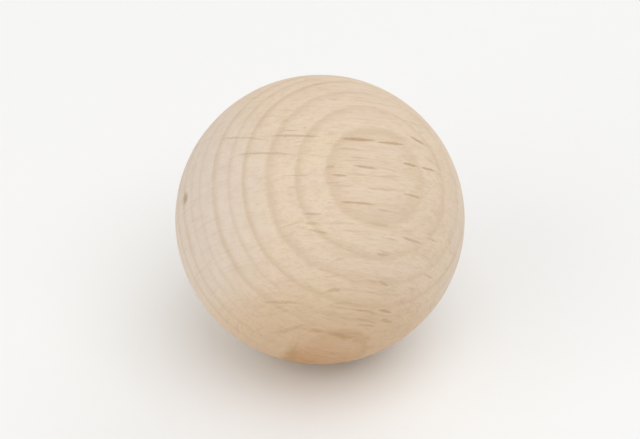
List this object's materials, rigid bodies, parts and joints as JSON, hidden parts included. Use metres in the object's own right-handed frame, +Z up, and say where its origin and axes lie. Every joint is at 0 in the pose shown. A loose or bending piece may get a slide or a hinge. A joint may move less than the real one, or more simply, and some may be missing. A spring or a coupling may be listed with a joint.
{
  "type": "wooden ball",
  "caption": "Plain solid ball turned from pale fine-grained hardwood and sanded smooth, with no bore, flat or coating.",
  "frame": {"origin": "centre of the ball", "axes": "+Z up, -Y towards the viewer; the wood's grain runs within about 25 degrees of +X, and the form is the same about every axis"},
  "size_m": [0.03, 0.03, 0.03],
  "materials": {
    "pale_hardwood": "raw, fine-sanded and matt, with growth rings and ray flecks"
  },
  "bodies": {
    "root": {"ball": "pale_hardwood"}
  },
  "joints": []
}
